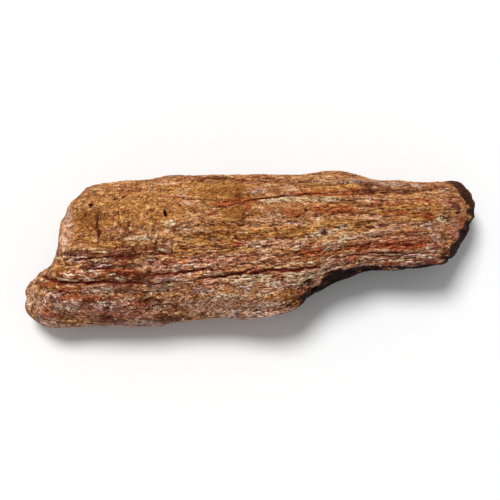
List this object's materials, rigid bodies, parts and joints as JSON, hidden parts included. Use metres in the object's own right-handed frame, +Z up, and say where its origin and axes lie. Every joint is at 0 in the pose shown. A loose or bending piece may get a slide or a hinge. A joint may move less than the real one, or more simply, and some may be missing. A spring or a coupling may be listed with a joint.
{
  "type": "dinosaur claw fossil fragment",
  "caption": "Splintery fragment of a fossil dinosaur claw: a long slab of iron-stained mineralised bone, split along its grain and stepped at both ends, lying on worn flats.",
  "frame": {"origin": "on the resting surface, under the middle of the bounding box", "axes": "+X along the grain, from the blunt, wider end to the narrower end; +Z up, out of the broad weathered face"},
  "size_m": [0.0914, 0.031, 0.0174],
  "materials": {
    "fossil_bone": "dull, fibrous and iron-stained"
  },
  "bodies": {
    "root": {"fossil_claw": "fossil_bone"}
  },
  "joints": []
}
